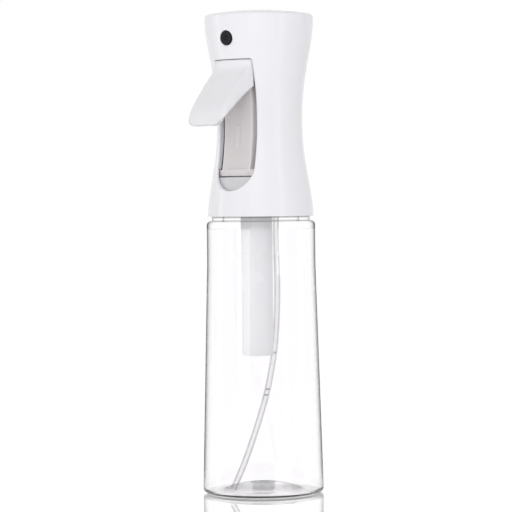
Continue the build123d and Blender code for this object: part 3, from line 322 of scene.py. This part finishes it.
def clear_bottle(name, rim_colour, gate_colour, start, steepness, rough):
    """Clear refracting plastic, with a painted dark edge where its outer skin is seen edge on, and a rough
    grey boss.
    """
    material, tree, output = new_material(name)
    gate = gate_mark(tree)
    foot = ramp(tree, object_place(tree)[1], *FOOT_ROUGH_TOP, FOOT_ROUGH, 0)
    roughness = chain(tree, "MAXIMUM", spread(tree, noise(tree, WAVE_SCALE), *rough), foot,
                      calculate(tree, "MULTIPLY", gate, GATE_ROUGH))
    bending = add(tree, "BsdfPrincipled", IOR=PLASTIC_IOR, Base_Color=tint(tree, gate, CLEAR, gate_colour),
                  Transmission_Weight=ramp(tree, gate, 0, 1, 1, 0), Roughness=roughness)
    straight = tree.nodes.new("ShaderNodeBsdfTransparent")
    unbent = calculate(tree, "MAXIMUM", light_path(tree, "Is Shadow Ray", "Is Diffuse Ray"), shoulder(tree))
    plastic = mix_shaders(tree, unbent, bending, straight)
    # painted dark edge: a dark see-through colour where the outer skin is seen edge on
    steep = calculate(tree, "POWER", facing_edge(tree, start), steepness)
    dark = calculate(tree, "MAXIMUM", calculate(tree, "MULTIPLY", steep, outer_skin(tree)), neck_shade(tree))
    rim = add(tree, "BsdfTransparent", Color=(*rim_colour, 1))
    tree.links.new(mix_shaders(tree, dark, plastic, rim).outputs[0], output.inputs["Surface"])
    return material


# ------------------------------------------------------------------ the dip tube's clear plastic
DROP_ENDS = (0.0691, 0.0510, 0.0482)   # heights
DROP_FADE = (0.0002, 0.0005)           # distances from these heights
DROP_SHADE = 0.4
FACE_GLOSS, EDGE_GLOSS = 0.04, 0.6
GLOSS_STEEPNESS = 5.0


def clear_tube(name, edge_colour, face_colour, start, rough):
    """Thin clear tube, with a painted dark edge where it is seen edge on, and darker at the ends of the
    drops inside it.
    """
    material, tree, output = new_material(name)
    height = object_place(tree)[1]
    dark = facing_edge(tree, start)
    for drop_end in DROP_ENDS:
        gap = calculate(tree, "ABSOLUTE", calculate(tree, "SUBTRACT", height, drop_end))
        dark = calculate(tree, "MAXIMUM", dark, ramp(tree, gap, *DROP_FADE, DROP_SHADE, 0))
    see_through = add(tree, "BsdfTransparent", Color=tint(tree, dark, face_colour, edge_colour))
    gloss = add(tree, "BsdfGlossy", Roughness=spread(tree, noise(tree, WAVE_SCALE), *rough))
    steep = calculate(tree, "POWER", facing_edge(tree, 0.0), GLOSS_STEEPNESS)
    surface = mix_shaders(tree, ramp(tree, steep, 0, 1, FACE_GLOSS, EDGE_GLOSS), see_through, gloss)
    tree.links.new(surface.outputs[0], output.inputs["Surface"])
    return material


# ------------------------------------------------------------------ each node's look
LOOKS = {   # by material slot
    "clear_bottle": clear_bottle("clear_bottle", rim_colour=(0.05, 0.045, 0.06),
                                 gate_colour=(0.07, 0.065, 0.07), start=0.45, steepness=1.8,
                                 rough=(0.0, 0.02)),
    "white_gloss": moulded("white_gloss", (0.87, 0.865, 0.905), (0.91, 0.905, 0.94), rough=(0.16, 0.24),
                           Coat_Weight=0.3),
    "white_inner": moulded("white_inner", (0.84, 0.84, 0.86), (0.9, 0.9, 0.91), rough=(0.3, 0.42)),
    # the frame's white plastic is painted a warm grey: painted shade of the recess behind the trigger; its
    # subsurface share is the plastic's real translucency
    "grey_frame": moulded("grey_frame", (0.68, 0.645, 0.645), (0.77, 0.73, 0.735), rough=(0.4, 0.55),
                          grain=1500.0, Subsurface_Weight=0.6, Subsurface_Radius=(1, 1, 1),
                          Subsurface_Scale=0.004),
    "black_nozzle": moulded("black_nozzle", (0.006, 0.006, 0.008), (0.013, 0.013, 0.016), rough=(0.35, 0.5),
                            edge=0.0003, Specular_IOR_Level=0.2),
    "clear_tube": clear_tube("clear_tube", edge_colour=(0.42, 0.41, 0.43), face_colour=(0.965, 0.963, 0.968),
                             start=0.12, rough=(0.08, 0.15)),
    "seal_rubber": moulded("seal_rubber", (0.02, 0.02, 0.02), (0.035, 0.035, 0.035), rough=(0.5, 0.7)),
    "valve_rubber": moulded("valve_rubber", (0.7, 0.7, 0.68), (0.78, 0.78, 0.76), rough=(0.45, 0.6)),
    "spring_steel": moulded("spring_steel", (0.45, 0.45, 0.46), (0.6, 0.6, 0.61), rough=(0.22, 0.35),
                            Metallic=1.0),
    "ball_steel": moulded("ball_steel", (0.6, 0.6, 0.61), (0.68, 0.68, 0.69), rough=(0.05, 0.1),
                          Metallic=1.0),
}
CYLINDER_WHITE = moulded("buffer_white", (0.79, 0.785, 0.81), (0.85, 0.845, 0.87))
OWN_LOOKS = {   # by node, in place of its slot's
    "buffer_cylinder": CYLINDER_WHITE,
    "buffer_end_cap": CYLINDER_WHITE,
    # the trigger is the head's white plastic painted a little darker: painted shade of its downward-facing
    # front
    "trigger": moulded("trigger_white_painted_shade", (0.85, 0.845, 0.88), (0.89, 0.885, 0.915), rough=(0.18, 0.26),
                       edge=0.0016, Coat_Weight=0.3),
    # the closure ring is white plastic painted grey: painted shade of the recess at the slot's bottom
    "closure_ring": moulded("ring_white_painted_shade", (0.60, 0.59, 0.61), (0.67, 0.66, 0.68), rough=(0.3, 0.4)),
}


def paint_nodes():
    for part in frame["record"]["subparts"]:
        look = OWN_LOOKS.get(part["node"], LOOKS[part["material_slot"]])
        for slot in frame["nodes"][part["node"]].material_slots:
            slot.material = look


# ------------------------------------------------------------------ coil springs
# a wound wire stands in for each CAD spring; the real spring shortens as its piston or valve moves
WIRE_SIDES = 10
STEPS_PER_TURN = 36
WIRES = {   # radius of the wire, and turns
    "piston_spring": (0.00035, 6),
    "outlet_spring": (0.00022, 6),
    "buffer_spring": (0.00060, 14),
}


def coil_mesh(name, middle, mean_r, wire_r, bottom, top, turns):
    """Wire wound between two heights."""
    steps = STEPS_PER_TURN * turns
    rise = (top - bottom - 2 * wire_r) / (tau * turns)
    points, faces = [], []
    for step in range(steps + 1):
        angle = tau * turns * step / steps
        out = Vector((cos(angle), sin(angle), 0))
        along = Vector((-mean_r * sin(angle), mean_r * cos(angle), rise)).normalized()
        over = along.cross(out)
        centre = middle + out * mean_r + Vector((0, 0, bottom + wire_r + rise * angle))
        for side in range(WIRE_SIDES):
            turn = tau * side / WIRE_SIDES
            points.append(centre + (out * cos(turn) + over * sin(turn)) * wire_r)
    for step in range(steps):
        for side in range(WIRE_SIDES):
            here = step * WIRE_SIDES + side
            beside = step * WIRE_SIDES + (side + 1) % WIRE_SIDES
            faces.append((here, beside, beside + WIRE_SIDES, here + WIRE_SIDES))
    faces.append(tuple(reversed(range(WIRE_SIDES))))
    faces.append(tuple(range(steps * WIRE_SIDES, (steps + 1) * WIRE_SIDES)))
    mesh = bpy.data.meshes.new(name)
    mesh.from_pydata(points, [], faces)
    for face in mesh.polygons:
        face.use_smooth = len(face.vertices) == 4
    mesh.update()
    return mesh


def make_coil(node):
    """A coil in place of the CAD spring, attached to the head."""
    wire_r, turns = WIRES[node]
    low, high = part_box(node)
    middle = (low + high) / 2
    middle.z = 0
    mean_r = (high.x - low.x) / 2 - wire_r
    mesh = coil_mesh(node + "_coil", middle, mean_r, wire_r, low.z, high.z, turns)
    mesh.materials.append(LOOKS["spring_steel"])
    coil = bpy.data.objects.new(node + "_coil", mesh)
    bpy.context.scene.collection.objects.link(coil)
    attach(coil, "head")
    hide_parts(node)
    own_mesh(coil)


def make_coils():
    for joint in frame["record"]["behaviour"]["joints"]:
        for spring in joint.get("deforming_nodes", []):
            make_coil(spring["node"])


# ------------------------------------------------------------------ surroundings
WHITE_LIGHT = (1, 1, 1, 1)
SEEN = ("Is Camera Ray", "Is Glossy Ray", "Is Transmission Ray")
HORIZON_LIGHT = 0.84     # what the surroundings give as light, unseen
ZENITH_LIGHT = 0.45
FLOOR_SIZE = 8.0
FLOOR_DROP = 0.0002      # below the foot
FLOOR_GREY = (0.8, 0.8, 0.8, 1)
FLOOR_GLOW = 0.56        # with the matt share it renders white
MIRROR = 0.72


def make_world():
    world = bpy.data.worlds.new("studio")
    bpy.context.scene.world = world
    world.use_nodes = True
    tree = world.node_tree
    tree.nodes.clear()
    output = tree.nodes.new("ShaderNodeOutputWorld")
    direction = tree.nodes.new("ShaderNodeTexCoord")
    height = add(tree, "SeparateXYZ", Vector=direction.outputs["Generated"]).outputs[2]
    unseen = add(tree, "Background", Color=WHITE_LIGHT,
                 Strength=ramp(tree, height, 0, 1, HORIZON_LIGHT, ZENITH_LIGHT))
    seen = add(tree, "Background", Color=WHITE_LIGHT, Strength=1.0)
    both = mix_shaders(tree, light_path(tree, *SEEN), unseen, seen)
    tree.links.new(both.outputs[0], output.inputs["Surface"])


def make_floor():
    bpy.ops.mesh.primitive_plane_add(size=FLOOR_SIZE, location=(0, 0, -FLOOR_DROP))
    floor = bpy.context.object
    floor.name = "floor"
    material, tree, output = new_material("glossy_white_floor")
    matt = add(tree, "BsdfDiffuse", Color=FLOOR_GREY)
    glow = add(tree, "Emission", Color=WHITE_LIGHT, Strength=FLOOR_GLOW)
    glowing = tree.nodes.new("ShaderNodeAddShader")
    for shader, socket in zip((matt, glow), glowing.inputs):
        tree.links.new(shader.outputs[0], socket)
    base = mix_shaders(tree, light_path(tree, *SEEN), matt, glowing)
    shine = add(tree, "BsdfGlossy", Color=WHITE_LIGHT, Roughness=0.0)
    surface = mix_shaders(tree, MIRROR, base, shine)
    tree.links.new(surface.outputs[0], output.inputs["Surface"])
    floor.data.materials.append(material)


# ------------------------------------------------------------------ lamps
LAMP_DISTANCE = 1.3      # from the bottle's axis
LAMP_AIM = Vector((0, 0, 0.15))


def area_light(name, azimuth, height, size, power, mirrored=True):
    """A lamp facing the object. One that isn't mirrored is seen neither in gloss nor through plastic."""
    data = bpy.data.lights.new(name, "AREA")
    data.shape = "RECTANGLE"
    data.size, data.size_y = size
    data.energy = power
    lamp = bpy.data.objects.new(name, data)
    bpy.context.scene.collection.objects.link(lamp)
    angle = radians(azimuth)
    lamp.location = (LAMP_DISTANCE * sin(angle), -LAMP_DISTANCE * cos(angle), height)
    lamp.rotation_mode = "QUATERNION"
    lamp.rotation_quaternion = (LAMP_AIM - lamp.location).to_track_quat("-Z", "Y")
    lamp.visible_glossy = mirrored
    lamp.visible_transmission = mirrored
    return lamp


def make_lamps():
    area_light("key", 32, 0.35, (0.8, 0.9), 5.6, mirrored=False)
    area_light("fill", -60, 0.3, (0.3, 0.9), 0.8)
    card = area_light("card", 0, 0.15, (0.62, 1.2), 8.5, mirrored=False)
    card.visible_diffuse = False
    card.visible_transmission = True    # it shows only as a mirror image inside the clear wall
    area_light("strip", 88, 0.3, (0.2, 0.9), 0.5)


make_camera()
paint_nodes()
make_coils()
make_world()
make_floor()
make_lamps()
bpy.context.scene.view_settings.view_transform = "Standard"
